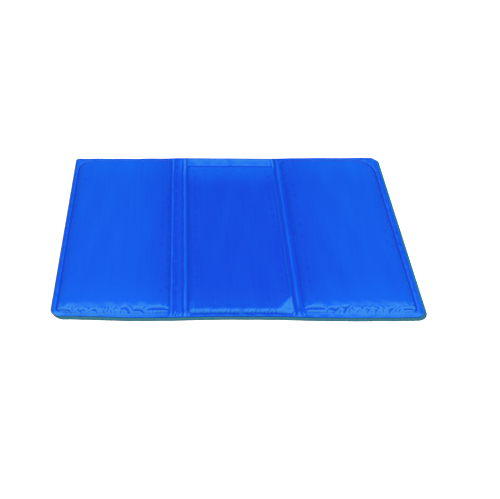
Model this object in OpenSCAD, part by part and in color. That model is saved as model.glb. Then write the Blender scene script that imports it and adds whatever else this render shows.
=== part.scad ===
// Gel cooling mat for a laptop, laid out flat.
// Three gel pouches in one welded fabric cover, with two flat gutters where the mat folds.
// The origin is on the table under the middle of the mat: +X to the right, +Y away from the
// user, +Z up. It folds like a concertina: the centre panel over the right panel, which stays
// on the table, and the left panel back over both. The right fold lines lie at the upper face
// of the gutter sheets and the left ones at their lower face.

/* [Mat] */
// Width of the open mat, from the left edge to the right edge
mat_w = 400; // [380:5:440]
// Depth of the mat, from the user's edge to the far edge
mat_d = 300; // [260:5:340]
// Thickness of a filled panel
mat_h = 7; // [6.5:0.25:7.5]
// Radius of the four corners of the mat
corner_r = 6.5; // [4:0.5:7]

/* [Gutters] */
// Width of the left gutter, where the left panel folds under the centre panel
left_gutter = 18.5; // [16:0.5:20]
// Width of the right gutter, where the centre panel folds over the right panel
right_gutter = 10; // [9.5:0.5:12]
// Distance from the left edge to the left gutter
left_panel_w = 127; // [120:1:130]
// Distance from the right edge to the right gutter
right_panel_w = 131; // [125:1:135]
// Clearance at each fold line between a panel and its gutter strip
fold_gap = 0.3; // [0.2:0.1:0.4]

/* [Rims] */
// Width of the welded rim along the left edge, and at the far end of both side panels
rim = 7.5; // [6:0.5:9]
// Width of the rim at the near end of both side panels
near_rim = 6; // [5:0.5:9]
// Width of the welded rim along the right edge
right_rim = 9; // [6:0.5:11]
// Width of the rim at the near end of the centre panel
centre_near_rim = 5.5; // [4:0.5:8]
// Width of the rim at the far end of the centre panel, where the pouch stops short
centre_far_rim = 22; // [9:1:26]
// Height of the weld above the table
seam_z = 2.3; // [2:0.1:2.6]

/* [Pouches] */
// Radius of the corners of a pouch, seen from above
pouch_r = 11; // [10.5:0.5:16]
// Run of the rounded shoulder, from the weld up to the flat top
shoulder = 8.5; // [7:0.5:10]
// Run of the rounded underside, from the weld down to the table
heel = 7; // [6:0.5:8]

/* [Layers] */
// Thickness of one sheet of the cover
sheet = 0.55; // [0.4:0.05:0.7]
// Clearance between the filling and the cover
fill_gap = 0.1; // [0.05:0.05:0.15]

/* [Hidden] */
$fn = 64;

cover_blue = "#1a5ce8";
underside_teal = "#2f6f86";
gel_blue = "#8fc4ff";
foam_white = "#eef2f4";

x_left = -mat_w / 2;
x_right = mat_w / 2;
y_near = -mat_d / 2;
y_far = mat_d / 2;

// The four fold lines, from left to right. The panels lie outside and between the gutters.
fold_1 = x_left + left_panel_w;
fold_2 = fold_1 + left_gutter;
fold_4 = x_right - right_panel_w;
fold_3 = fold_4 - right_gutter;
half_gap = fold_gap / 2;

// A span is [x0, x1]: the stretch of the mat's width that one panel or strip takes up.
left_span = [x_left, fold_1 - half_gap];
left_strip_span = [fold_1 + half_gap, fold_2 - half_gap];
centre_span = [fold_2 + half_gap, fold_3 - half_gap];
right_strip_span = [fold_3 + half_gap, fold_4 - half_gap];
right_span = [fold_4 + half_gap, x_right];

// A pouch is [x0, x1, y0, y1]: the weld line round one filling, seen from above.
left_pouch = [x_left + rim, left_span[1], y_near + near_rim, y_far - rim];
centre_pouch = [centre_span[0], centre_span[1],
                y_near + centre_near_rim, y_far - centre_far_rim];
right_pouch = [right_span[0], x_right - right_rim, y_near + near_rim, y_far - rim];

crown = mat_h - seam_z;

// Radius of the arc that leaves the weld and meets the flat face without a corner
function arc_radius(run, rise) = (run * run + rise * rise) / (2 * rise);

// Run that is left of that arc once it is offset inwards by t
function inset_run(run, rise, t) =
    sqrt(pow(arc_radius(run, rise) - t, 2) - pow(arc_radius(run, rise) - rise, 2));

// Outline of the whole mat, seen from above
module mat_outline() {
    translate([x_left, y_near + corner_r]) square([mat_w, mat_d - 2 * corner_r]);
    translate([x_left + corner_r, y_near]) square([mat_w - 2 * corner_r, mat_d]);
    for (x = [x_left + corner_r, x_right - corner_r])
        for (y = [y_near + corner_r, y_far - corner_r])
            translate([x, y]) circle(corner_r);
}

// One flat sheet of the cover over a span, resting at height z
module flat_sheet(span, z) {
    translate([0, 0, z])
        linear_extrude(sheet)
            intersection() {
                mat_outline();
                translate([span[0], y_near]) square([span[1] - span[0], mat_d]);
            }
}

// Half cross-section of a pouch: flat from its corner's centre, then an arc down to the weld
module pouch_profile(r, run, rise) {
    arc_r = arc_radius(run, rise);
    intersection() {
        square([r, rise]);
        union() {
            square([r - run, rise]);
            translate([r - run, rise - arc_r]) circle(arc_r);
        }
    }
}

// Solid of one side of a pouch, from the weld's plane up to the flat face
module half_pouch(box, r, run, rise) {
    w = box[1] - box[0] - 2 * r;
    d = box[3] - box[2] - 2 * r;
    xs = [box[0] + r, box[1] - r];
    ys = [box[2] + r, box[3] - r];
    translate([xs[0], ys[0], 0]) cube([w, d, rise]);
    // Each corner is turned a quarter further and starts the straight side that leads to it.
    for (corner = [[xs[1], ys[1], 0, d], [xs[0], ys[1], 90, w],
                   [xs[0], ys[0], 180, d], [xs[1], ys[0], 270, w]])
        translate([corner[0], corner[1], 0])
            rotate([0, 0, corner[2]]) {
                rotate_extrude(angle = 90) pouch_profile(r, run, rise);
                rotate([90, 0, 0]) linear_extrude(corner[3]) pouch_profile(r, run, rise);
            }
}

// The same solid with its skin offset inwards by t
module inset_pouch(box, run, rise, t) {
    inner_run = inset_run(run, rise, t);
    step = run - inner_run;
    half_pouch([box[0] + step, box[1] - step, box[2] + step, box[3] - step],
               pouch_r - step, inner_run, rise - t);
}

// Upper sheet of a panel: the flat rim and the crowned skin of the pouch
module top_cover(span, box) {
    color(cover_blue)
        difference() {
            union() {
                flat_sheet(span, seam_z);
                translate([0, 0, seam_z]) half_pouch(box, pouch_r, shoulder, crown);
            }
            translate([0, 0, seam_z]) inset_pouch(box, shoulder, crown, sheet);
        }
}

// Lower sheet of a panel: the flat rim and the shallow skin that lies on the table
module bottom_cover(span, box) {
    color(underside_teal)
        difference() {
            union() {
                flat_sheet(span, seam_z - sheet);
                translate([0, 0, seam_z])
                    mirror([0, 0, 1]) half_pouch(box, pouch_r, heel, seam_z);
            }
            translate([0, 0, seam_z])
                mirror([0, 0, 1]) inset_pouch(box, heel, seam_z, sheet);
        }
}

// Gel that fills the upper half of a pouch
module gel(box) {
    color(gel_blue)
        translate([0, 0, seam_z + fill_gap / 2])
            inset_pouch(box, shoulder, crown - fill_gap / 2, sheet + fill_gap);
}

// Foam sheet under the gel, which fills the lower half of a pouch
module foam(box) {
    color(foam_white)
        translate([0, 0, seam_z - fill_gap / 2])
            mirror([0, 0, 1])
                inset_pouch(box, heel, seam_z - fill_gap / 2, sheet + fill_gap);
}

module left_top_cover() { top_cover(left_span, left_pouch); }
module left_gel() { gel(left_pouch); }
module left_foam() { foam(left_pouch); }
module left_bottom_cover() { bottom_cover(left_span, left_pouch); }

module centre_top_cover() { top_cover(centre_span, centre_pouch); }
module centre_gel() { gel(centre_pouch); }
module centre_foam() { foam(centre_pouch); }
module centre_bottom_cover() { bottom_cover(centre_span, centre_pouch); }

module right_top_cover() { top_cover(right_span, right_pouch); }
module right_gel() { gel(right_pouch); }
module right_foam() { foam(right_pouch); }
module right_bottom_cover() { bottom_cover(right_span, right_pouch); }

module left_gutter_top() { color(cover_blue) flat_sheet(left_strip_span, seam_z); }
module left_gutter_bottom() {
    color(underside_teal) flat_sheet(left_strip_span, seam_z - sheet);
}
module right_gutter_top() { color(cover_blue) flat_sheet(right_strip_span, seam_z); }
module right_gutter_bottom() {
    color(underside_teal) flat_sheet(right_strip_span, seam_z - sheet);
}

left_top_cover();
left_gel();
left_foam();
left_bottom_cover();
centre_top_cover();
centre_gel();
centre_foam();
centre_bottom_cover();
right_top_cover();
right_gel();
right_foam();
right_bottom_cover();
left_gutter_top();
left_gutter_bottom();
right_gutter_top();
right_gutter_bottom();
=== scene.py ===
# %% [markdown]
# # A folding gel cooling mat for a laptop
# The real mat is three flat pouches of gel in one welded cover: a royal-blue nylon sheet on
# top, a dark teal one below, a flat rim all round and two flat gutters where it folds.
# This lesson builds it as thin skins over one height map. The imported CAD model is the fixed
# frame: every size and place below comes from its boxes.

# %% Load the frame
import math

import bpy
import numpy as np
from mathutils import Matrix, Vector


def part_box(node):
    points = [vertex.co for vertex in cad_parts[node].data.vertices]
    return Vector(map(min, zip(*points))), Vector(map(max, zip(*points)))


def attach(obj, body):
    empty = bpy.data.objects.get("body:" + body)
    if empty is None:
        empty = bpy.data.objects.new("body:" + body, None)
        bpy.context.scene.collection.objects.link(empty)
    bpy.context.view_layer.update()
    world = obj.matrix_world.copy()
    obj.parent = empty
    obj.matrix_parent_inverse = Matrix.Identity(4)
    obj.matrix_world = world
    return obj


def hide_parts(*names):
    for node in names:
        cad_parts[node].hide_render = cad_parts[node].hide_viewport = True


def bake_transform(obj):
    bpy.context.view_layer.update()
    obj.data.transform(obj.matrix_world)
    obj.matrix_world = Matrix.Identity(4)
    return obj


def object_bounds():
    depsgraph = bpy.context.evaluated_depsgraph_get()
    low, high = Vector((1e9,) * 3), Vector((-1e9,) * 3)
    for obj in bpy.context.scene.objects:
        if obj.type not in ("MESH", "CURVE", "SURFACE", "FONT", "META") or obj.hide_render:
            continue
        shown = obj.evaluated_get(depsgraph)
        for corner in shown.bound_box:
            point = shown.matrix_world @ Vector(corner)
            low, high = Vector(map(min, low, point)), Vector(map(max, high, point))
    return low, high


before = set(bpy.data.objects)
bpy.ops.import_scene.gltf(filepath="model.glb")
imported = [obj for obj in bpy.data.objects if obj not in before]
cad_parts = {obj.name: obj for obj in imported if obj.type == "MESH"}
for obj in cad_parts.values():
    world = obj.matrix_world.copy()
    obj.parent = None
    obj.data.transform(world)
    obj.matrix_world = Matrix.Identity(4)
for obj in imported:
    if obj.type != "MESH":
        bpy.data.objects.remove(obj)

cad_low, cad_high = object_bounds()
MM = 0.001
print("CAD box in mm:", [round(v / MM, 1) for v in (*cad_low, *cad_high)])

# %% [markdown]
# ## Camera
# The mat lies flat and is seen from the user's side, from about 40 degrees above the table.
# A 60 mm lens on a 36 mm sensor keeps the edges converging as gently as a product shot does.
# The camera could be aimed with a constraint, but an explicit rotation is easier to read.

# %% Camera
CAMERA_PLACE = (-0.0614, -0.7756, 0.6234)   # metres
CAMERA_AZIMUTH = -3.9                       # degrees, from straight ahead
CAMERA_ELEVATION = 40.04                    # degrees above the table
CAMERA_ROLL = 2.53                          # degrees
CAMERA_LENS = 60.2                          # millimetres
CAMERA_SHIFT = 0.05                         # share of the frame's width


def aim_camera():
    """Makes the scene's camera: it looks along +Y at azimuth 0, and down by its elevation."""
    camera = bpy.data.objects.new("camera", bpy.data.cameras.new("camera"))
    bpy.context.scene.collection.objects.link(camera)
    azimuth, elevation = math.radians(CAMERA_AZIMUTH), math.radians(CAMERA_ELEVATION)
    forward = Vector((-math.sin(azimuth) * math.cos(elevation),
                      math.cos(azimuth) * math.cos(elevation),
                      -math.sin(elevation)))
    turn = forward.to_track_quat("-Z", "Y").to_matrix().to_4x4()
    roll = Matrix.Rotation(math.radians(CAMERA_ROLL), 4, "Z")
    camera.matrix_world = Matrix.Translation(CAMERA_PLACE) @ turn @ roll
    camera.data.lens = CAMERA_LENS
    camera.data.shift_x = CAMERA_SHIFT
    bpy.context.scene.camera = camera
    print("camera height above the table in mm:", round(CAMERA_PLACE[2] / MM))


aim_camera()

# %% [markdown]
# ## Helpers for materials
# Colours are written as sRGB hex, as a colour chart gives them, and turned linear in one
# place. Every node is added by one small function that also sets its fields and its links,
# so that each line of a material below says what one node does.

# %% Colours and node helper
def linear(hex_colour):
    """Linear RGBA of an sRGB hex colour."""
    parts = [int(hex_colour[i:i + 2], 16) / 255 for i in (1, 3, 5)]
    return (*[v / 12.92 if v <= 0.04045 else ((v + 0.055) / 1.055) ** 2.4 for v in parts], 1)


def add_node(tree, kind, settings=None, links=None):
    """Adds a node, sets its fields and its inputs, and links sockets into it."""
    node = tree.nodes.new(kind)
    for name, value in (settings or {}).items():
        if isinstance(name, int) or name in node.inputs:
            node.inputs[name].default_value = value
        else:
            setattr(node, name, value)
    for name, socket in (links or {}).items():
        tree.links.new(socket, node.inputs[name])
    return node


def new_material(name):
    """An empty node material with its output and its Principled shader."""
    material = bpy.data.materials.new(name)
    material.use_nodes = True
    tree = material.node_tree
    tree.nodes.clear()
    shader = add_node(tree, "ShaderNodeBsdfPrincipled")
    add_node(tree, "ShaderNodeOutputMaterial", links={"Surface": shader.outputs["BSDF"]})
    return material, tree, shader


# %% [markdown]
# ## Floor and light
# A pale paper floor and one large soft box overhead. The cover mirrors almost none of the box, so
# the flat panels send the camera only their own blue; the light band along the near edge is a
# painted highlight in the cover's tone further down. The Standard view keeps the blue saturated.

# %% Floor and lights
FLOOR_SIZE = 6.0                # metres along each side
BOX_SIZE = 1.6                  # metres along each side of the soft box
BOX_PLACE = (0.0, -0.2, 1.7)    # metres, a little towards the user
BOX_POWER = 60.0                # watts
SKY_STRENGTH = 0.10


def light_scene():
    """The paper floor, the overhead soft box and a weak even sky."""
    half = FLOOR_SIZE / 2
    mesh = bpy.data.meshes.new("floor")
    mesh.from_pydata([(-half, -half, 0), (half, -half, 0), (half, half, 0), (-half, half, 0)],
                     [], [(0, 1, 2, 3)])
    floor = bpy.data.objects.new("floor", mesh)
    bpy.context.scene.collection.objects.link(floor)
    material, tree, shader = new_material("floor_matt_white_paper")
    shader.inputs["Base Color"].default_value = linear("#fbfbfa")
    shader.inputs["Roughness"].default_value = 0.9
    shader.inputs["Specular IOR Level"].default_value = 0.1
    mesh.materials.append(material)

    box = bpy.data.objects.new("soft_box", bpy.data.lights.new("soft_box", "AREA"))
    box.data.shape = "SQUARE"
    box.data.size = BOX_SIZE
    box.data.energy = BOX_POWER
    box.location = BOX_PLACE
    box.rotation_euler = Vector(BOX_PLACE).to_track_quat("Z", "Y").to_euler()
    bpy.context.scene.collection.objects.link(box)

    world = bpy.data.worlds.new("studio")
    world.use_nodes = True
    back = world.node_tree.nodes["Background"]
    back.inputs["Color"].default_value = (1, 1, 1, 1)
    back.inputs["Strength"].default_value = SKY_STRENGTH
    bpy.context.scene.world = world
    bpy.context.scene.view_settings.view_transform = "Standard"
    bpy.context.scene.view_settings.look = "None"


light_scene()

# %% [markdown]
# ## The lie of the mat
# All the shapes below are one function of the place on the mat, so that neighbouring pieces
# meet without a gap. It works in millimetres, and takes its lines from the CAD boxes: the
# panels' edges from the covers, and each weld line from the gel inside it.

# %% Layout from the frame
GEL_INSET = 0.78        # from a weld line in to the edge of the gel
SHEET = 0.5             # thickness of one sheet of the cover
CORNER_BLEND = 6        # how softly the widths of two shoulders mix at a pouch's corner


def box_mm(node):
    """Lowest and highest corner of a CAD node, in millimetres."""
    low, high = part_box(node)
    return np.array(low) / MM, np.array(high) / MM


class Pouch:
    """One gel pouch: its weld line, its heights and the runs of its four shoulders."""

    def __init__(self, side, near_run, far_run, left_run, right_run, top, corner,
                 far_left=None, far_right=None):
        low, high = box_mm(side + "_gel")
        self.x0, self.y0 = low[:2] - GEL_INSET
        self.x1, self.y1 = high[:2] + GEL_INSET
        self.runs = (near_run, far_run, left_run, right_run)
        self.top = top
        self.corner = corner
        self.far_corners = (far_left or corner, far_right or corner)

    def inside(self, x, y):
        """Distance in from the weld line, negative outside it."""
        middle_x, middle_y = (self.x0 + self.x1) / 2, (self.y0 + self.y1) / 2
        far_corner = np.where(x < middle_x, *self.far_corners)
        corner = np.where(y > middle_y, far_corner, self.corner)
        qx = np.abs(x - middle_x) - (self.x1 - self.x0) / 2 + corner
        qy = np.abs(y - middle_y) - (self.y1 - self.y0) / 2 + corner
        out = np.hypot(np.maximum(qx, 0), np.maximum(qy, 0))
        return corner - out - np.minimum(np.maximum(qx, qy), 0)

    def run(self, x, y):
        """Width of the shoulder here: that of the nearest side, mixed softly at a corner."""
        gaps = (y - self.y0, self.y1 - y, x - self.x0, self.x1 - x)
        weights = [np.exp(-np.clip(g, -20, 200) / CORNER_BLEND) for g in gaps]
        return sum(w * r for w, r in zip(weights, self.runs)) / sum(weights)


mat_low, mat_high = np.array(cad_low) / MM, np.array(cad_high) / MM
RIM_TOP = box_mm("left_gutter_top")[1][2]
RIM_UNDER = box_mm("left_gutter_bottom")[0][2]
FOLD_1 = box_mm("left_top_cover")[1][0]
FOLD_2 = box_mm("centre_top_cover")[0][0]
FOLD_3 = box_mm("centre_top_cover")[1][0]
FOLD_4 = box_mm("right_top_cover")[0][0]
LEFT_MIDDLE = (FOLD_1 + FOLD_2) / 2
RIGHT_MIDDLE = (FOLD_3 + FOLD_4) / 2
CENTRE_MIDDLE = (FOLD_2 + FOLD_3) / 2
TOP = mat_high[2]
CENTRE_LOWER = 1.0      # the centre pouch holds less gel and lies this much lower

# Each line: the runs of the near, far, left and right shoulder, the top, and the corner radii.
left_pouch = Pouch("left", 19.5, 6.5, 11, 10, TOP, 9, far_left=22)
centre_pouch = Pouch("centre", 6.5, 5, 7, 7, TOP - CENTRE_LOWER, 5)
right_pouch = Pouch("right", 19.5, 6.5, 10, 11, TOP, 9, far_right=24)
pouches = (left_pouch, centre_pouch, right_pouch)
print("weld lines in mm:", [[round(float(v), 1) for v in (p.x0, p.x1, p.y0, p.y1)]
                            for p in pouches])

# %% [markdown]
# ## Wrinkles
# Two flat sheets that are welded at the edge and pushed apart by gel can't stretch round the
# shoulder, so the spare cloth gathers in short hooked puckers along the weld. They could be left to
# a cloth simulation alone, but then nobody can say where the big ones lie. So the large folds are
# listed one by one, and a seeded run of small ones fills the spaces.

# %% Wrinkle shapes
def ridge(u):
    """Cross-section of a pucker: a sharp valley with a softer ridge beside it."""
    return -np.exp(-u * u) + 0.55 * np.exp(-((u - 1.7) / 1.2) ** 2)


def window(t):
    """Rises from 0 and falls back to 0 as t goes from 0 to 1, and stays 0 outside."""
    return np.sin(np.pi * np.clip(t, 0, 1)) ** 0.8


def hook(x, inward, start, length, drift, width, depth):
    """A pucker that leaves the weld at start and hooks sideways as it runs inward."""
    t = inward / length
    centre = start + drift * np.clip(t, 0, 1) ** 1.6
    return depth * window(t * 0.92 + 0.08) * (t < 1) * (t > -0.1) * ridge((x - centre) / width)


def long_fold(x, inward, start, end, at, width, depth):
    """A fold that lies along the weld, at a distance inward from it."""
    t = (x - start) / (end - start)
    return depth * window(t) ** 2 * ridge((at - inward) / width)


rng = np.random.default_rng(14)


def small_hooks(start, end, pitch, length, depth):
    """A seeded row of small puckers along a stretch of weld."""
    row = []
    at = start + pitch * rng.uniform(0.3, 0.9)
    while at < end:
        row.append((at, length * rng.uniform(0.6, 1.3), length * rng.uniform(-0.35, 0.6),
                    0.55 + 0.35 * rng.random(), depth * rng.uniform(0.4, 1.1)))
        at += pitch * rng.uniform(0.6, 1.5)
    return row


# The large hooks, one by one: (place from the left edge, length, sideways drift, width, depth).
left_edge = mat_low[0]
LEFT_HOOKS = [(left_edge + a, *rest) for a, *rest in (
    (23, 5, -3, 1.1, 0.8), (34, 6.5, -5, 1.3, 1.0), (50, 6, -3, 1.1, 0.8), (58, 5, -3, 1.0, 0.7),
    (66, 4, -2, 0.8, 0.3), (84, 9.5, -6, 1.6, 1.1), (99, 6.5, -6, 1.9, 0.9))]
RIGHT_HOOKS = [(left_edge + a, *rest) for a, *rest in (
    (301, 7, 6, 1.8, 1.0), (312, 9, 6, 1.6, 1.1), (327, 5, 3, 0.9, 0.3), (337, 5, 3, 1.0, 0.7),
    (346, 5, 3, 0.9, 0.6), (361, 6.5, 5, 1.5, 1.0), (370, 5, 4, 1.0, 0.7))]
# Small ones fill the spaces between them: (start, end, mean pitch, length, depth).
near_hooks = {
    left_pouch: LEFT_HOOKS + small_hooks(left_pouch.x0 + 8, left_pouch.x1 - 4, 6, 5, 0.35),
    centre_pouch: small_hooks(centre_pouch.x0 + 2, centre_pouch.x1 - 2, 3.4, 4.5, 0.38),
    right_pouch: RIGHT_HOOKS + small_hooks(right_pouch.x0 + 4, right_pouch.x1 - 8, 6, 5, 0.35),
}
# Folds along the weld: (start, end, distance in from the weld, width, depth).
near_folds = {
    left_pouch: [(left_edge + a, left_edge + b, *rest) for a, b, *rest in (
        (6, 27, 4.0, 1.1, 1.3), (28, 38, 4.4, 1.1, 1.1), (43, 52, 4.6, 1.1, 1.0),
        (73, 85, 6.4, 1.3, 1.0), (86, 101, 4.6, 1.5, 1.4), (101, 129, 5.6, 1.7, 1.7))],
    centre_pouch: [],
    right_pouch: [(left_edge + a, left_edge + b, *rest) for a, b, *rest in (
        (266, 296, 5.6, 1.7, 1.7), (295, 307, 5.0, 1.5, 1.4), (309, 318, 6.4, 1.3, 1.0),
        (334, 341, 4.4, 1.0, 0.9), (359, 367, 4.4, 1.1, 1.1), (373, 391, 4.0, 1.1, 1.3))],
}
print("near puckers:", [len(v) for v in near_hooks.values()])


# %% [markdown]
# ## Small helpers
# Nothing on a sewn or welded thing is quite even. A few sine waves with seeded lengths and
# phases make a smooth unevenness, which a noise texture could make as well, but here the mesh
# needs it as plain numbers. A second helper eases every change from one zone to the next.

# %% Smooth noise and easing
def wave_noise(x, y, scale_x, scale_y, seed, waves=7):
    """Smooth noise from a few seeded sine waves, about -1 to 1, with its scale in millimetres."""
    source = np.random.default_rng(seed)
    total = np.zeros_like(x)
    for _ in range(waves):
        turn = source.uniform(0.6, 1.6, 2) * source.choice((-1, 1), 2)
        total += np.sin(2 * np.pi * (turn[0] * x / scale_x + turn[1] * y / scale_y)
                        + source.uniform(0, 2 * np.pi))
    return total / waves ** 0.5 / 1.4


def smooth(t):
    """0 below 0, 1 above 1, and an even S between them."""
    t = np.clip(t, 0, 1)
    return t * t * (3 - 2 * t)


# %% [markdown]
# ## The height map
# A pouch's shoulder is part of an ellipse that starts steeply at the weld and runs out level
# on the gel. The rim droops a little towards the table. The gutters keep the creases that
# folding has pressed into them: ridges and valleys that run from the near edge to the far.

# %% Height of the upper surface
RIM_DROOP = 0.9         # fall of the rim towards its cut edge
WELD_WIDTH = 0.9
WELD_DEPTH = 0.45
WRINKLE_GAIN = 1.25
PILLOW_RISE = 1.3

# Creases of the gutters: (place from the left edge, width, height).
LEFT_CREASES = ((127.8, 1.2, 1.15), (132.6, 1.7, -0.3), (137.2, 0.9, 0.35),
                (139.8, 0.8, -0.45), (142.9, 1.5, 1.25), (145.6, 0.7, -0.3))
RIGHT_CREASES = ((258.0, 1.1, 0.5), (260.7, 0.9, -0.95), (264.0, 1.3, 1.15))

# Gathers at the near end of the gutters: (place from the left edge, sideways drift).
LEFT_GATHERS = ((127, 3), (130.5, 2.5), (134, -2), (138, 2), (143, -3), (147, -3))
RIGHT_GATHERS = ((258, 3), (262, 2), (266, -2), (270, -4))


def crease(x, at, width, height):
    """A ridge, or a valley where height is negative, that runs along Y."""
    return height * np.exp(-((x - at) / width) ** 2)


def gutter_relief(x, y):
    """Creases of both gutters. They wander by a fraction of a millimetre on the way."""
    sway = 0.5 * wave_noise(x * 0, y, 90, 70, 3)
    left = x - sway - left_edge
    right = x - 0.6 * sway - left_edge
    calm = 0.75 + 0.25 * wave_noise(x * 0, y, 50, 45, 4)
    relief = sum(crease(left, *one) for one in LEFT_CREASES)
    relief += sum(crease(right, *one) for one in RIGHT_CREASES)
    from_edge = y - mat_low[1] - 1.5
    gathers = sum(hook(left, from_edge, at, 10, drift, 0.8, -0.55) for at, drift in LEFT_GATHERS)
    gathers += sum(hook(right, from_edge, at, 9, drift, 0.8, -0.5) for at, drift in RIGHT_GATHERS)
    return relief * calm + gathers


def plain_weld(x, y):
    """1 where a weld was pressed smooth and shows no dark line: along the gutters and near."""
    in_gutters = sum(smooth((x - low + 5) / 3) * smooth((high + 5 - x) / 3)
                     for low, high in ((FOLD_1, FOLD_2), (FOLD_3, FOLD_4)))
    return np.maximum(in_gutters, near_side_weld(x, y))


def near_side_weld(x, y):
    """1 along the near welds of the two side pouches."""
    over_centre = smooth((x - FOLD_1) / 3) * smooth((FOLD_4 - x) / 3)
    return (1 - over_centre) * (1 - smooth((y - mat_low[1] - 7) / 2))


def edge_distance(x, y):
    """Distance in from the mat's outer edge."""
    return np.minimum.reduce([x - mat_low[0], mat_high[0] - x, y - mat_low[1], mat_high[1] - y])


def shoulder(t):
    """Rise of the shoulder, from 0 at the weld to 1 on the flat gel."""
    return 1 - (1 - np.clip(t, 0, 1)) ** 2.1


def pulled_corner(x, y):
    """Distance from the slanting crease at the centre pouch's near right corner: the cloth is
    held down where it is negative."""
    return -0.823 * (x - centre_pouch.x1) + 0.568 * (y - centre_pouch.y0 - 30)


def pouch_height(pouch, x, y):
    """Height of a pouch above the rim, with its wrinkles, and 0 outside it."""
    inward = pouch.inside(x, y)
    run = pouch.run(x, y)
    rise = (pouch.top - RIM_TOP) * shoulder(inward / run)
    from_near = y - pouch.y0
    wrinkles = np.zeros_like(x)
    for one in near_hooks[pouch]:
        wrinkles += WRINKLE_GAIN * hook(x, from_near, *one)
    for one in near_folds[pouch]:
        wrinkles += long_fold(x, from_near, *one)
    fade = smooth(inward / 1.2)
    if pouch is centre_pouch:
        # Past the slanting crease the cloth falls by 0.2 mm for each millimetre.
        held = (pouch.top - RIM_TOP) + 0.2 * np.minimum(pulled_corner(x, y), 0)
        rise = np.minimum(rise, np.maximum(held, 0.3) * smooth(inward / 3))
    swell = 0.12 * wave_noise(x, y, 60, 150, 21) + 0.015 * wave_noise(x, y, 9, 400, 22)
    return rise + (wrinkles + swell * smooth(inward / 14)) * fade


def rigid_height(pouch, x, y):
    """A pouch before its cloth has settled: the gel's shape with the seeded puckers."""
    inward = pouch.inside(x, y)
    return RIM_TOP + pouch_height(pouch, x, y) * (inward > 0)


def upper_height(x, y):
    """Height of the mat's upper surface, in millimetres."""
    edge = edge_distance(x, y)
    z = RIM_TOP - RIM_DROOP * (1 - smooth(edge / 8.5)) + gutter_relief(x, y) * smooth(edge / 7)
    for pouch in pouches:
        inward = pouch.inside(x, y)
        z += pouch_height(pouch, x, y) * (inward > 0)
        if pouch in cloth_shift:
            z += shift_at(pouch, x, y)[..., 2]
        groove = WELD_DEPTH * np.exp(-((inward + WELD_WIDTH) / WELD_WIDTH) ** 2)
        z -= groove * (1 - 0.8 * plain_weld(x, y))
    # The spare cloth beyond the centre pouch's far weld is a low pillow with a pointed end.
    far_low = centre_pouch.y1 + 1.5
    far_t = (y - far_low) / (mat_high[1] - 1.5 - far_low)
    tip = smooth((x - FOLD_2 + 2) / 16) * smooth((FOLD_3 + 2 - x) / 8)
    z += PILLOW_RISE * window(far_t) * tip
    z += 0.12 * wave_noise(x, y, 24, 18, 31) * smooth(edge / 3)
    return z


# %% [markdown]
# ## Cloth that settles over the gel
# The listed puckers are only a start. A short cloth simulation then lets the spare width buckle
# round them: the sheet is a few per cent too large for the shoulder it lies on, it is held at the
# weld and on the flat gel, and a little pressure keeps it off the filling.
# It runs on a coarse copy of each pouch, twenty times enlarged, since the solver is tuned for
# garments. Only the shift of each point is kept, and it is capped.

# %% Cloth simulation
SIM_SCALE = 20          # enlargement of the simulated copy
SIM_FRAMES = 14
SIM_CAP = 1.5           # longest shift that is kept, in millimetres
SIM_SPARE = -0.018      # negative shrinking: the cloth is 1.8 % too large
SIM_PRESSURE = 0.15
TAUT = 0.22             # share of the shift that is kept away from the near weld
cloth_shift = {}


def cloth_grid(pouch):
    """Grid lines of a pouch for the simulation, fine where the puckers are."""
    xs = lines((pouch.x0 - 1, 1.3), (pouch.x1 + 1,))
    ys = lines((pouch.y0 - 1, 1.1), (pouch.y0 + 26, 4), (pouch.y1 - 18, 1.3), (pouch.y1 + 1,))
    return xs, ys


def weight_group(piece, name, weights):
    """A vertex group that gives each point its own weight, in a hundred steps."""
    group = piece.vertex_groups.new(name=name)
    steps = np.round(np.clip(weights, 0, 1).ravel() * 100).astype(int)
    for step in np.unique(steps):
        group.add(np.nonzero(steps == step)[0].tolist(), step / 100, "REPLACE")


def add_cloth(piece):
    """Light nylon under a slight pressure, pinned where its weight in the group is 1."""
    cloth = piece.modifiers.new("settle", "CLOTH")
    rules = cloth.settings
    rules.quality = 6
    rules.mass = 0.15
    rules.tension_stiffness = rules.compression_stiffness = 25
    rules.shear_stiffness = 8
    rules.bending_stiffness = 0.35
    rules.air_damping = 2
    rules.vertex_group_mass = "held"
    rules.vertex_group_shrink = "held"
    rules.shrink_max = 0
    rules.shrink_min = SIM_SPARE
    rules.use_pressure = True
    rules.uniform_pressure_force = SIM_PRESSURE
    rules.effector_weights.gravity = 0
    cloth.point_cache.frame_end = SIM_FRAMES


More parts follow.
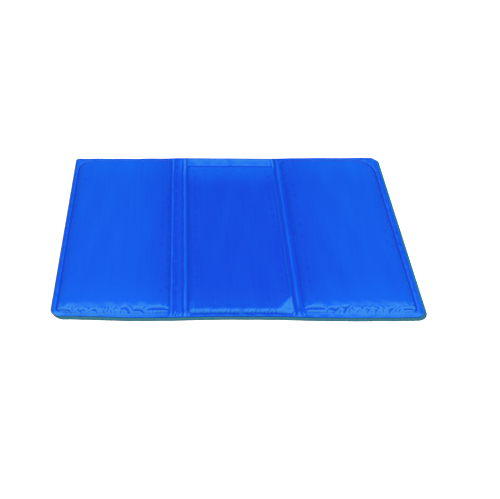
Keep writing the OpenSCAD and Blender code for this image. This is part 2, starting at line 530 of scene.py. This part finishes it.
def settle(pouch):
    """Runs the cloth of one pouch and keeps how far each point has moved, in millimetres."""
    xs, ys = cloth_grid(pouch)
    x, y = np.meshgrid(xs, ys)
    z = rigid_height(pouch, x, y)
    k = SIM_SCALE
    piece = skin_object("settling", x * k, y * k, z * k, np.zeros_like(x))
    inward = pouch.inside(x, y)
    band = smooth((inward - 0.2) / 1.5) * (1 - smooth((inward - 0.3 * pouch.run(x, y)) / 5))
    weight_group(piece, "held", 1 - band)
    add_cloth(piece)
    scene = bpy.context.scene
    for frame_number in range(1, SIM_FRAMES + 1):
        scene.frame_set(frame_number)
    final = piece.evaluated_get(bpy.context.evaluated_depsgraph_get()).data
    points = np.empty(len(final.vertices) * 3, np.float32)
    final.vertices.foreach_get("co", points)
    scene.frame_set(1)
    shift = points.reshape(*x.shape, 3) / MM / k - np.stack([x, y, z], -1)
    length = np.linalg.norm(shift, axis=-1, keepdims=True)
    shift *= SIM_CAP * np.tanh(length / SIM_CAP) / np.maximum(length, 1e-9)
    # Only the near weld took much spare cloth; the other three were welded taut.
    near_share = 1 - smooth((y - pouch.y0 - 10) / 6)
    shift *= (TAUT + (1 - TAUT) * near_share)[..., None]
    cloth_shift[pouch] = (xs, ys, shift)
    print("settled cloth: longest shift in mm", round(float(length.max()), 2),
          "mean", round(float(length[band > 0.5].mean()), 2))
    bpy.data.objects.remove(piece)


def shift_at(pouch, x, y):
    """Shift of a pouch's cloth at any place, and none outside the simulated grid."""
    xs, ys, shift = cloth_shift[pouch]
    column = np.interp(x, xs, np.arange(len(xs)))
    row = np.interp(y, ys, np.arange(len(ys)))
    i, j = np.minimum(row.astype(int), len(ys) - 2), np.minimum(column.astype(int), len(xs) - 2)
    v, u = (row - i)[..., None], (column - j)[..., None]
    mixed = (shift[i, j] * (1 - u) + shift[i, j + 1] * u) * (1 - v)
    mixed += (shift[i + 1, j] * (1 - u) + shift[i + 1, j + 1] * u) * v
    return mixed * (pouch.inside(x, y) > 0)[..., None]


# %% [markdown]
# ## Skins
# Each skin is a grid of faces laid over the mat and lifted to the height map. A plain grid is
# easy to control: its lines lie close together at the near and far welds, where the puckers
# are, and further apart on the flat gel. The corners of the mat are rounded by moving the
# grid's corner squares onto quarter discs. Solidify then gives the cloth its thickness.

# %% Grid skins
CORNERS = (12, 9, 5, 8)         # radii of the blue sheet: near left, near right, far left, far right
UNDER_CORNERS = (14, 12, 8, 8)  # the same for the teal sheet


def lines(*stops):
    """Grid lines through the stops: (place, step up to the next stop), ..., (last place,)."""
    made = []
    for (a, step), (b, *_) in zip(stops[:-1], stops[1:]):
        count = max(1, round((b - a) / step))
        made.extend(a + (b - a) * i / count for i in range(count))
    return np.array([*made, stops[-1][0]])


def round_corners(x, y, low, high, radii):
    """Moves the points of a rectangle so that its four corners become round."""
    x, y = x.copy(), y.copy()
    signs = ((-1, -1), (1, -1), (-1, 1), (1, 1))
    for (sx, sy), radius in zip(signs, radii):
        cx = low[0] + radius if sx < 0 else high[0] - radius
        cy = low[1] + radius if sy < 0 else high[1] - radius
        u, v = (x - cx) * sx / radius, (y - cy) * sy / radius
        here = (u > 0) & (v > 0)
        u, v = np.clip(u, 0, 1), np.clip(v, 0, 1)
        x = np.where(here, cx + sx * radius * u * np.sqrt(1 - v * v / 2), x)
        y = np.where(here, cy + sy * radius * v * np.sqrt(1 - u * u / 2), y)
    return x, y


def grid_faces(x):
    """Numbers of a grid's points, and its faces."""
    index = np.arange(x.size).reshape(x.shape)
    quads = np.stack([index[:-1, :-1], index[:-1, 1:], index[1:, 1:], index[1:, :-1]], -1)
    return index, quads.reshape(-1, 4)


def mesh_piece(name, points, faces):
    """A smooth piece from points in millimetres, which stores where each point was made."""
    mesh = bpy.data.meshes.new(name)
    mesh.from_pydata((points * MM).tolist(), [], faces.tolist())
    mesh.attributes.new("rest_mm", "FLOAT_VECTOR", "POINT").data.foreach_set(
        "vector", points.astype(np.float32).ravel())
    mesh.polygons.foreach_set("use_smooth", [True] * len(mesh.polygons))
    mesh.update()
    piece = bpy.data.objects.new(name, mesh)
    bpy.context.scene.collection.objects.link(piece)
    return piece


def skin_object(name, x, y, z, tone, facing_up=True):
    """A skin from grids of coordinates in millimetres, with its tone stored."""
    faces = grid_faces(x)[1]
    if not facing_up:
        faces = faces[:, ::-1]
    piece = mesh_piece(name, np.stack([x, y, z], -1).reshape(-1, 3), faces)
    piece.data.attributes.new("tone", "FLOAT", "POINT").data.foreach_set(
        "value", tone.astype(np.float32).ravel())
    return piece


def thicken(piece, thickness):
    """Gives a skin its cloth thickness, inwards from its outer face."""
    solid = piece.modifiers.new("cloth thickness", "SOLIDIFY")
    solid.thickness = thickness * MM
    solid.offset = -1


# %% [markdown]
# ## Run the cloth
# This is the slowest step, about ten seconds for the three pouches. Without it, the puckers are only
# those listed one by one.

# %% Settle the cloth
for pouch in pouches:
    settle(pouch)

# %% [markdown]
# ## The underside
# The lower sheet is cut from a dark teal cloth. It lies almost flat on the table, and it is set
# askew, so a narrow border of it shows past the near and right edges: a painted shadow, laid where
# the mat's shadow falls on the table. It has a height function of its own, which the blue skin also
# needs, to stay above it.

# %% Height of the lower surface
# The teal border past the near and right edges is a painted shadow of the mat.
SHADOW_PEEP_NEAR, SHADOW_PEEP_RIGHT = 2.3, 1.9    # how far the teal sheet shows past the near and right edge
TUCK_LEFT, TUCK_FAR = 3.0, 0.9      # how far it stays back at the left and far edge
under_low = np.array([mat_low[0] + TUCK_LEFT, mat_low[1] - SHADOW_PEEP_NEAR])
under_high = np.array([mat_high[0] + SHADOW_PEEP_RIGHT, mat_high[1] - TUCK_FAR])
UNDER_RUN = 7           # width of the shoulder on the lower side
EDGE_LOW = 0.2          # height of the cut edge above the table
LOWEST = 0.02           # where the sheet lies on the table


def lower_height(x, y):
    """Height of the mat's lower surface, in millimetres."""
    edge = np.minimum.reduce([x - under_low[0], under_high[0] - x,
                              y - under_low[1], under_high[1] - y])
    z = RIM_UNDER - (RIM_UNDER - EDGE_LOW) * (1 - smooth(edge / 9))
    for pouch in pouches:
        inward = pouch.inside(x, y)
        z -= (RIM_UNDER - LOWEST) * shoulder(inward / UNDER_RUN) * (inward > 0)
    return np.maximum(z, LOWEST)


# %% [markdown]
# ## Tone
# The tone is painted light and shade: painted highlights where the cover faces the user, on crests
# and on the near rim, and painted shade deep in creases, beside the folds and over the centre panel,
# with dark weld lines and random variation besides. Light alone draws too little of that on a part 7
# mm thick, so each point also stores a tone, worked out from the height map, and the blue material
# reads it. Painting it by hand would have to be redone after each edit.

# %% Tone of the blue
# Painted highlight on the gutters' crests and painted shade in their valley.
GUTTER_LIGHT_AND_SHADE = ((127.3, 1.2, 0.55), (141.5, 1.5, 0.2), (257.9, 1.2, 0.7), (260.7, 1.1, -0.5),
                (264.0, 1.4, 0.8))      # (place from the left edge, width, tone)
CREST_STEP = 0.16                       # a crest this high, in mm, counts in full


def tone_map(x, y):
    """0 where the cover looks darkest and 1 where it looks palest: painted light towards the near
    and far edges, painted shade beside the folds and over the centre panel, and a random variation.
    """
    tone = np.full_like(x, 0.62)
    near, far = y - mat_low[1], mat_high[1] - y
    tone += 0.35 * (1 - smooth(far / 70)) + 0.34 * (1 - smooth((near - 10) / 60))
    for fold, reach in ((FOLD_1, 30), (FOLD_4, 45)):
        tone -= 0.42 * np.exp(-((x - fold) / reach) ** 2)
    centre = smooth((x - FOLD_2) / 3) * smooth((FOLD_3 - x) / 3)
    tone = tone * (1 - centre) + centre * (
        0.12 + 0.85 * (1 - smooth((far - 20) / 55)) + 0.25 * (1 - smooth((near - 8) / 45)))
    return tone + 0.07 * wave_noise(x, y, 45, 160, 41)


def gutter_painted_light(x, y):
    """Painted highlight on the crests and painted shade in a valley along the gutters."""
    across = x - 0.5 * wave_noise(x * 0, y, 90, 70, 3) - left_edge
    return sum(crease(across, *one) for one in GUTTER_LIGHT_AND_SHADE)


def blurred(z, reach):
    """Mean of a grid over a square of cells."""
    for axis in (0, 1):
        z = sum(np.roll(z, shift, axis) for shift in range(-reach, reach + 1)) / (2 * reach + 1)
    return z


def weld_tone(x, y, inward):
    """A weld is a dark line, but a pale one along the near side of the side pouches."""
    line = -0.55 * np.exp(-((inward + WELD_WIDTH) / 1.1) ** 2) * (1 - plain_weld(x, y))
    line += 0.35 * np.exp(-((inward + WELD_WIDTH) / 1.2) ** 2) * near_side_weld(x, y)
    over_centre = smooth((x - FOLD_2) / 3) * smooth((FOLD_3 - x) / 3)
    return line - 2.2 * np.exp(-((y - centre_pouch.y1 - 0.6) / 1.8) ** 2) * over_centre


def crest_tone(x, y, z, inward):
    """Painted highlight on crests and painted shade in valleys, from the height above the mean of
    the cells around.
    """
    crest = np.zeros_like(z)
    crest[3:-3, 3:-3] = (z - blurred(z, 2))[3:-3, 3:-3]
    puckered = 1 - smooth((y - mat_low[1] - 18) / 6)
    crest *= np.where(crest > 0, np.maximum(puckered, inward < -0.5), inward < 12)
    at_weld = np.exp(-((inward + WELD_WIDTH) / 1.6) ** 2)
    crest *= np.where(crest < 0, 1 - 0.8 * at_weld * plain_weld(x, y), 1)
    return np.clip(crest / CREST_STEP, -1.3, 0.8) * 0.75


def spare_cloth_tone(x, y):
    """The pillow beyond the centre pouch, and the wide ridge beside it, catch the light."""
    low = centre_pouch.y1 + 2
    across = smooth((x - FOLD_2 + 3) / 14) * smooth((FOLD_3 + 6 - x) / 22)
    pillow = smooth((y - low) / 3) * across
    pillow *= 0.15 + 0.5 * smooth((y - low) / (mat_high[1] - low))
    ridge_share = np.exp(-((x - left_edge - 141) / 5.5) ** 2)
    return pillow + 0.75 * ridge_share * smooth((y - mat_high[1] + 55) / 45)


def near_tone(x, y):
    """The near rim is pale and blotchy, most of all at its left corner: a painted highlight where
    the drooping rim faces the user, with random blotches.
    """
    near = y - mat_low[1]
    tone = gutter_painted_light(x, y) * smooth((near - 10) / 10)
    tone += 0.6 * (1 - smooth((x - left_edge - 4) / 16)) * (1 - smooth((near - 2) / 6))
    return tone + 0.55 * (1 - smooth((near - 2) / 7)) * (
        0.75 + 0.35 * wave_noise(x, y, 21, 15, 61))


def slope_tone(x, y, z):
    """Painted light and shade: lightens what faces the user and the crests, and darkens what lies
    deep in a fold.
    """
    # Painted highlight on slopes that face the user, painted shade on slopes that face away.
    uphill = np.gradient(z, axis=0) / np.gradient(y, axis=0)
    tone = smooth((uphill - 0.02) / 0.38) - 0.7 * smooth((-uphill - 0.04) / 0.4)
    tone *= 1 - 0.6 * (y > centre_pouch.y1) * (x > FOLD_2) * (x < FOLD_3)
    inward = np.maximum.reduce([pouch.inside(x, y) for pouch in pouches])
    tone += crest_tone(x, y, z, inward) + weld_tone(x, y, inward)
    tone += spare_cloth_tone(x, y) + near_tone(x, y)
    # A painted highlight on the triangle of cloth pulled down at the centre pouch's near right
    # corner.
    inside = smooth(centre_pouch.inside(x, y) / 1.5) * (x > centre_pouch.x0 + 60)
    return tone + 1.3 * smooth(-pulled_corner(x, y) / 3) * inside


# %% [markdown]
# ## The blue sheet
# The cut edge of the real sheet isn't straight. It sags towards the user beside the gutters, where
# the cloth has the least gel to hold it. A few places with their offsets, joined by a soft curve,
# are enough for that. The sheet is made in four skins, which meet in the middle of each gutter and
# of the centre panel.

# %% Upper skins
# (place along the edge, offset along Y), in mm from the middle of the mat.
NEAR_EDGE = ((-200, 3.0), (-172, 3.0), (-150, 1.9), (-120, 0.3), (-82, 0.1), (-62, 0.7),
             (-20, 1.7), (40, 1.1), (62, 0.0), (95, -1.2), (130, -1.5), (178, -1.4), (200, -0.9))
FAR_EDGE = ((-200, -2.3), (-150, -2.2), (-95, -1.3), (-60, 0.4), (60, 0.2), (105, 2.4),
            (150, 2.7), (183, 3.8), (200, 3.0))


def soft_curve(x, table):
    """A smooth curve through a short table of places and offsets."""
    places, offsets = zip(*table)
    dense = np.linspace(places[0], places[-1], 161)
    kernel = np.hanning(17) / np.hanning(17).sum()
    sampled = np.pad(np.interp(dense, places, offsets), 8, mode="edge")
    return np.interp(x, dense, np.convolve(sampled, kernel, mode="valid"))


def near_wander(x):
    """Offset of the near edge along Y."""
    return soft_curve(x, NEAR_EDGE) + 0.15 * wave_noise(x, x * 0, 33, 50, 51)


def far_wander(x):
    """Offset of the far edge along Y."""
    return soft_curve(x, FAR_EDGE) + 0.3 * wave_noise(x, x * 0, 40, 50, 52)


NEAR_FINE, FAR_FINE = 34, 26    # depth of the zones with a fine grid, for the puckers
# The blue sheet stops short at the near and right edges, which widens the painted shadow border of
# teal there.
SHORT_NEAR = 1.3                # the blue sheet was cut this much short of the teal one
SHORT_RIGHT = 1.3
SHORT_LEFT = 0.8
WELD_GAP = 0.12                 # least gap between the two sheets
Y_LINES = lines((mat_low[1], 0.8), (mat_low[1] + NEAR_FINE, 2.5),
                (mat_high[1] - FAR_FINE, 1.0), (mat_high[1],))


def upper_skin(name, x_from, x_to):
    """The blue cover from one fold or edge to another."""
    x, y = np.meshgrid(lines((x_from, 0.9), (x_to,)), Y_LINES)
    z = np.maximum(upper_height(x, y), lower_height(x, y) + SHEET + WELD_GAP)
    tone = tone_map(x, y) + slope_tone(x, y, z)
    px, py = round_corners(x, y, mat_low, mat_high, CORNERS)
    reach = 9 + 16 * (1 - smooth((x - mat_low[0]) / 24))
    near_share = 1 - smooth((y - mat_low[1]) / reach)
    far_share = 1 - smooth((mat_high[1] - y) / 25)
    py = py + near_share * (near_wander(x) + SHORT_NEAR) + far_share * far_wander(x)
    px = px - SHORT_RIGHT * (1 - smooth((mat_high[0] - x) / 7))
    px = px + SHORT_LEFT * (1 - smooth((x - mat_low[0]) / 7))
    for pouch in cloth_shift:
        sideways = shift_at(pouch, x, y)
        px, py = px + sideways[..., 0], py + sideways[..., 1]
    return sharp_border(skin_object(name, px, py, z, tone))


def sharp_border(piece):
    """Marks the open border as sharp, so that the two halves of a fold shade as one sheet."""
    mesh = piece.data
    uses = np.zeros(len(mesh.edges), int)
    edge_of_corner = np.empty(len(mesh.loops), int)
    mesh.loops.foreach_get("edge_index", edge_of_corner)
    np.add.at(uses, edge_of_corner, 1)
    mesh.attributes.new("sharp_edge", "BOOLEAN", "EDGE").data.foreach_set("value", uses == 1)
    return piece


upper_parts = {
    "left": upper_skin("cover_top_left", mat_low[0], LEFT_MIDDLE),
    "centre_left": upper_skin("cover_top_centre_left", LEFT_MIDDLE, CENTRE_MIDDLE),
    "centre_right": upper_skin("cover_top_centre_right", CENTRE_MIDDLE, RIGHT_MIDDLE),
    "right": upper_skin("cover_top_right", RIGHT_MIDDLE, mat_high[0]),
}
for piece in upper_parts.values():
    thicken(piece, SHEET)
print("upper skin points:", sum(len(p.data.vertices) for p in upper_parts.values()))

# %% [markdown]
# ## The teal sheet
# The same four strips, seen from below. Nothing puckers here, so the grid may be coarser.

# %% Lower skins
def lower_skin(name, x_from, x_to):
    """The teal cover from one fold or edge to another."""
    y_lines = lines((under_low[1], 1.2), (under_low[1] + 24, 4),
                    (under_high[1] - 24, 1.2), (under_high[1],))
    x, y = np.meshgrid(lines((x_from, 1.6), (x_to,)), y_lines)
    z = lower_height(x, y)
    px, py = round_corners(x, y, under_low, under_high, UNDER_CORNERS)
    py = py + (1 - smooth((y - under_low[1]) / 25)) * near_wander(x)
    py = py + (1 - smooth((under_high[1] - y) / 25)) * far_wander(x)
    return sharp_border(skin_object(name, px, py, z, np.zeros_like(x), facing_up=False))


lower_parts = {
    "left": lower_skin("cover_underside_left", under_low[0], LEFT_MIDDLE),
    "centre_left": lower_skin("cover_underside_centre_left", LEFT_MIDDLE, CENTRE_MIDDLE),
    "centre_right": lower_skin("cover_underside_centre_right", CENTRE_MIDDLE, RIGHT_MIDDLE),
    "right": lower_skin("cover_underside_right", RIGHT_MIDDLE, under_high[0]),
}
for piece in lower_parts.values():
    thicken(piece, SHEET)
print("lower skin points:", sum(len(p.data.vertices) for p in lower_parts.values()))

# %% [markdown]
# ## Filling
# Inside each pouch a sheet of foam carries the gel. They don't show on a whole mat, but the
# mat is opened and cut on a repair bench, so both are real closed pieces that fill the
# pouch: a grid for each face, and a band of faces that joins their edges.

# %% Gel and foam
NEAR_ROOM = 2.5         # the filling stops short of the near weld, under the deepest puckers


def filling(name, pouch, inset, upper, lower, step):
    """A closed piece inside a pouch, between two height functions."""
    low = (pouch.x0 + inset, pouch.y0 + inset + NEAR_ROOM)
    high = (pouch.x1 - inset, pouch.y1 - inset)
    x, y = np.meshgrid(lines((low[0], step), (high[0],)), lines((low[1], step), (high[1],)))
    px, py = round_corners(x, y, low, high, [max(pouch.far_corners)] * 4)
    top, under = upper(px, py), lower(px, py)
    index, quads = grid_faces(x)
    ring = np.concatenate([index[0, :-1], index[:-1, -1], index[-1, :0:-1], index[:0:-1, 0]])
    after = np.roll(ring, -1)
    band = np.stack([ring + x.size, after + x.size, after, ring], -1)
    points = np.concatenate([np.stack([px, py, top], -1).reshape(-1, 3),
                             np.stack([px, py, under], -1).reshape(-1, 3)])
    return mesh_piece(name, points, np.concatenate([quads, quads[:, ::-1] + x.size, band]))


def lowest_near(x, y, reach=1.8):
    """Lowest height of the cover within reach of a place, so that the gel stays under it."""
    steps = ((0, 0), (reach, 0), (-reach, 0), (0, reach), (0, -reach))
    lowest = np.minimum.reduce([upper_height(x + a, y + b) for a, b in steps])
    return lowest - 0.7 * (1 - smooth((y - mat_low[1] - 8) / 16))


SEAM = (RIM_TOP + RIM_UNDER) / 2
CLEAR = SHEET + 0.15    # from the outer face of the cover in to the filling
FILL_INSET = 1.6        # from the weld line in to the filling
FILL_STEP = 3
THINNEST = 0.2
FILM = 0.02             # gap between the gel and the foam under it, on each side of the seam
gels, foams = {}, {}
for side, pouch in zip(("left", "centre", "right"), pouches):
    gels[side] = filling(f"gel_{side}", pouch, FILL_INSET,
                         lambda x, y: np.maximum(lowest_near(x, y) - CLEAR, SEAM + THINNEST),
                         lambda x, y: np.full_like(x, SEAM + FILM), FILL_STEP)
    foams[side] = filling(f"foam_{side}", pouch, FILL_INSET,
                          lambda x, y: np.full_like(x, SEAM - FILM),
                          lambda x, y: np.minimum(lower_height(x, y) + CLEAR, SEAM - THINNEST),
                          FILL_STEP)
print("filling points:", sum(len(p.data.vertices) for p in (*gels.values(), *foams.values())))

# %% [markdown]
# ## Materials
# The cover is coated nylon: a close weave with a thin matted film on it, so the blue stays deep and
# only the tone map changes it, with its painted light and shade between shaded, lit and highlighted
# copies of the blue. Every pattern is laid out in the stored rest place, so it stays on the cloth
# when the mat folds. The threads are drawn at 0.9 mm, about three times coarser than the real ones,
# so that they show. The teal cloth is as dark as the painted shadow that its border stands for along
# the near and right edges. The gel and the foam follow the usual look of such stuff, since the real
# ones are hardly seen.

# %% Four materials
# Shaded, lit and highlighted copies of the cover's blue, mixed by the painted light and shade of the
# tone.
COVER_SHADED = "#0f38b1"
COVER_LIT = "#0f50bf"
COVER_HIGHLIGHT = "#2a6fc0"
TEAL_DARK, TEAL_LIGHT = "#1a4f60", "#246473"
GEL_DEEP, GEL_CLEAR = "#5fa4ea", "#a5d3fb"
FOAM_PORE, FOAM_WALL = "#c9cfd2", "#f4f6f6"
POLYMER_IOR = 1.50      # nylon, polyester and polyurethane
WATER_IOR = 1.34        # the gel is nearly all water


def mm_place(tree):
    """Socket with the place on the flat mat, in millimetres, which folding doesn't change."""
    return add_node(tree, "ShaderNodeAttribute", {"attribute_name": "rest_mm"}).outputs["Vector"]


def scaled_noise(tree, place, size, detail):
    """Noise whose grain has the given size in millimetres along X, Y and Z."""
    scale = tuple(1 / s for s in size)
    stretched = add_node(tree, "ShaderNodeVectorMath", {"operation": "MULTIPLY", 1: scale},
                         {0: place})
    return add_node(tree, "ShaderNodeTexNoise", {"Scale": 1.0, "Detail": detail},
                    {"Vector": stretched.outputs[0]}).outputs["Fac"]


def cover_nylon():
    """RF-welded polyurethane-coated nylon taffeta: a smooth satin cloth."""
    material, tree, shader = new_material("cover_pu_coated_nylon")
    place = mm_place(tree)
    # The tone attribute carries the painted light and shade that picks between the shaded, lit and
    # highlighted blues.
    tone = add_node(tree, "ShaderNodeAttribute", {"attribute_name": "tone"}).outputs["Fac"]
    streaks = scaled_noise(tree, place, (2.2, 60.0, 5.0), 3.0)
    lift = add_node(tree, "ShaderNodeMath", {"operation": "MULTIPLY_ADD", 1: 0.35, 2: -0.17},
                    {0: streaks}).outputs[0]
    total = add_node(tree, "ShaderNodeMath", {"operation": "ADD"}, {0: tone, 1: lift}).outputs[0]
    share = add_node(tree, "ShaderNodeClamp", links={"Value": total}).outputs[0]
    colour = add_node(tree, "ShaderNodeMix", {"data_type": "RGBA", 6: linear(COVER_SHADED),
                                              7: linear(COVER_LIT)}, {0: share})
    extra = add_node(tree, "ShaderNodeMath", {"operation": "SUBTRACT", "use_clamp": True, 1: 1.0},
                     {0: total})
    pale = add_node(tree, "ShaderNodeMix", {"data_type": "RGBA", 7: linear(COVER_HIGHLIGHT)},
                    {0: extra.outputs[0], 6: colour.outputs[2]})
    tree.links.new(pale.outputs[2], shader.inputs["Base Color"])
    rough_noise = scaled_noise(tree, place, (3.0, 12.0, 5.0), 2.0)
    rough = add_node(tree, "ShaderNodeMapRange", {"To Min": 0.36, "To Max": 0.50},
                     {"Value": rough_noise})
    tree.links.new(rough.outputs[0], shader.inputs["Roughness"])
    shader.inputs["IOR"].default_value = POLYMER_IOR
    # The film is matted, and mirrors far less than smooth plastic would.
    shader.inputs["Specular IOR Level"].default_value = 0.01
    weave_bump(tree, shader, place, 0.9, 0.012, streaks)
    return material


def weave_bump(tree, shader, place, thread, height, streaks):
    """A plain weave: two sets of threads, drawn at the given spacing in millimetres."""
    parts = add_node(tree, "ShaderNodeSeparateXYZ", links={0: place})
    waves = []
    for axis in (0, 1):
        turn = add_node(tree, "ShaderNodeMath", {"operation": "MULTIPLY",
                                                 1: 2 * math.pi / thread},
                        {0: parts.outputs[axis]})
        waves.append(add_node(tree, "ShaderNodeMath", {"operation": "SINE"},
                              {0: turn.outputs[0]}).outputs[0])
    woven = add_node(tree, "ShaderNodeMath", {"operation": "MULTIPLY"},
                     {0: waves[0], 1: waves[1]}).outputs[0]
    weave = add_node(tree, "ShaderNodeBump", {"Strength": 0.5, "Distance": height * MM},
                     {"Height": woven})
    drawn = add_node(tree, "ShaderNodeBump", {"Strength": 0.6, "Distance": 0.10 * MM},
                     {"Height": streaks, "Normal": weave.outputs[0]})
    tree.links.new(drawn.outputs[0], shader.inputs["Normal"])


def underside_cloth():
    """Dark teal coated polyester: a closer, duller weave that grips the table."""
    material, tree, shader = new_material("underside_polyester_and_shadow_border")
    place = mm_place(tree)
    grain = scaled_noise(tree, place, (4.0, 4.0, 4.0), 3.0)
    # The teal is dark enough for its border past the near and right edges to read as the mat's
    # painted shadow; the grain mixes two teals at random.
    colour = add_node(tree, "ShaderNodeMix", {"data_type": "RGBA", 6: linear(TEAL_DARK),
                                              7: linear(TEAL_LIGHT)}, {0: grain})
    tree.links.new(colour.outputs[2], shader.inputs["Base Color"])
    shader.inputs["Roughness"].default_value = 0.62
    shader.inputs["IOR"].default_value = POLYMER_IOR
    shader.inputs["Specular IOR Level"].default_value = 0.15
    weave_bump(tree, shader, place, 1.2, 0.03, grain)
    return material


def hydrogel():
    """Clear blue cellulose gel: wet, glossy and faintly cloudy."""
    material, tree, shader = new_material("cooling_hydrogel")
    place = mm_place(tree)
    cloud = scaled_noise(tree, place, (14.0, 14.0, 14.0), 4.0)
    colour = add_node(tree, "ShaderNodeMix", {"data_type": "RGBA", 6: linear(GEL_DEEP),
                                              7: linear(GEL_CLEAR)}, {0: cloud})
    tree.links.new(colour.outputs[2], shader.inputs["Base Color"])
    shader.inputs["Roughness"].default_value = 0.12
    shader.inputs["IOR"].default_value = WATER_IOR
    ripple = add_node(tree, "ShaderNodeBump", {"Strength": 0.4, "Distance": 0.4 * MM},
                      {"Height": cloud})
    tree.links.new(ripple.outputs[0], shader.inputs["Normal"])
    return material


def open_cell_foam():
    """White open-cell polyurethane foam: small dark pores in a dull skin."""
    material, tree, shader = new_material("open_cell_pu_foam")
    place = mm_place(tree)
    pores = add_node(tree, "ShaderNodeTexVoronoi", {"Scale": 0.9}, {"Vector": place})
    colour = add_node(tree, "ShaderNodeMix", {"data_type": "RGBA", 6: linear(FOAM_PORE),
                                              7: linear(FOAM_WALL)},
                      {0: pores.outputs["Distance"]})
    tree.links.new(colour.outputs[2], shader.inputs["Base Color"])
    shader.inputs["Roughness"].default_value = 0.95
    shader.inputs["IOR"].default_value = POLYMER_IOR
    pits = add_node(tree, "ShaderNodeBump", {"Strength": 0.8, "Distance": 0.3 * MM},
                    {"Height": pores.outputs["Distance"]})
    tree.links.new(pits.outputs[0], shader.inputs["Normal"])
    return material


# %% [markdown]
# ## Dress the pieces
# Each piece gets one material.

# %% Dress the pieces
def dress(pieces, material):
    """Gives pieces their material."""
    for piece in pieces:
        piece.data.materials.append(material)


dress(upper_parts.values(), cover_nylon())
dress(lower_parts.values(), underside_cloth())
dress(gels.values(), hydrogel())
dress(foams.values(), open_cell_foam())
print("materials:", sorted(material.name for material in bpy.data.materials))

# %% [markdown]
# ## Bodies
# The mat folds at four hinges, two for each gutter. Here the gel and the foam of each pouch ride on
# their panel, while the skins, a side panel's in one strip and the centre panel's in two halves, are
# only baked in place.

# %% Ride and bake
for parts in (upper_parts, lower_parts):
    for side, panel, gutter, start, end in (
            ("left", "left_panel", "left_gutter", FOLD_1, LEFT_MIDDLE),
            ("centre_left", "centre_panel", "left_gutter", FOLD_2, LEFT_MIDDLE),
            ("centre_right", "centre_panel", "right_gutter", FOLD_3, RIGHT_MIDDLE),
            ("right", "right_panel", "right_gutter", FOLD_4, RIGHT_MIDDLE)):
        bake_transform(parts[side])

for side in ("left", "centre", "right"):
    for made, node in ((gels, "gel"), (foams, "foam")):
        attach(made[side], side + "_panel")
        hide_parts(f"{side}_{node}")

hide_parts("left_top_cover", "left_gutter_top")
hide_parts("centre_top_cover", "left_gutter_top")
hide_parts("centre_top_cover", "right_gutter_top")
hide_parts("right_top_cover", "right_gutter_top")
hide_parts("left_bottom_cover", "left_gutter_bottom")
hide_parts("centre_bottom_cover", "left_gutter_bottom")
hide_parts("centre_bottom_cover", "right_gutter_bottom")
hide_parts("right_bottom_cover", "right_gutter_bottom")
